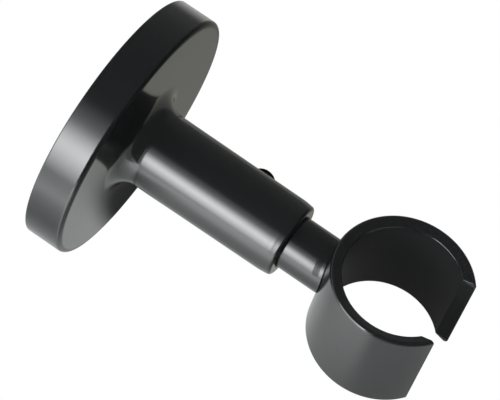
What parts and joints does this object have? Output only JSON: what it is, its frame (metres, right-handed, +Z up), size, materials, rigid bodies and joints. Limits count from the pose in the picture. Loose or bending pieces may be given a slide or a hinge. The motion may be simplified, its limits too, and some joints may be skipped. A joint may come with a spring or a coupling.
{
  "type": "curtain pole bracket",
  "caption": "Ceiling bracket for a slotted curtain pole: round rose and sleeve, sliding rod held by a clamp screw, and an open ring that clips round the pole.",
  "frame": {"origin": "centre of the face that lies on the ceiling", "axes": "+Z up to the ceiling, the stem hangs along -Z; +X along the pole; +Y to the side of the clamp screw"},
  "size_m": [0.0462, 0.0462, 0.0674],
  "materials": {
    "black_lacquer": "smooth black lacquer, satin gloss",
    "plated_steel": "bright zinc plating",
    "black_steel": "black oxide, slightly oily"
  },
  "bodies": {
    "plate": {"mounting_plate": "plated_steel"},
    "bracket": {"bracket_body": "black_lacquer"},
    "lock_screw": {"lock_screw": "black_steel"},
    "clamp_screw": {"clamp_screw": "black_steel"},
    "rod": {"rod": "black_lacquer", "pole_ring": "black_lacquer"}
  },
  "joints": [
    {"name": "rose_turn", "type": "hinge", "parent": "plate", "child": "bracket", "pos_m": [0, 0, 0], "axis": [0, 0, 1], "continuous": true},
    {"name": "rod_slide", "type": "slide", "parent": "bracket", "child": "rod", "axis": [0, 0, -1], "range_m": [-0.006, 0.012]},
    {"name": "clamp_screw_turn", "type": "hinge", "parent": "bracket", "child": "clamp_screw", "pos_m": [0, 0.008, -0.02735], "axis": [0, 1, 0], "range_deg": [0, 540]},
    {"name": "lock_screw_turn", "type": "hinge", "parent": "bracket", "child": "lock_screw", "pos_m": [0, 0.0228, -0.00208], "axis": [0, 1, 0], "range_deg": [0, 540]}
  ]
}
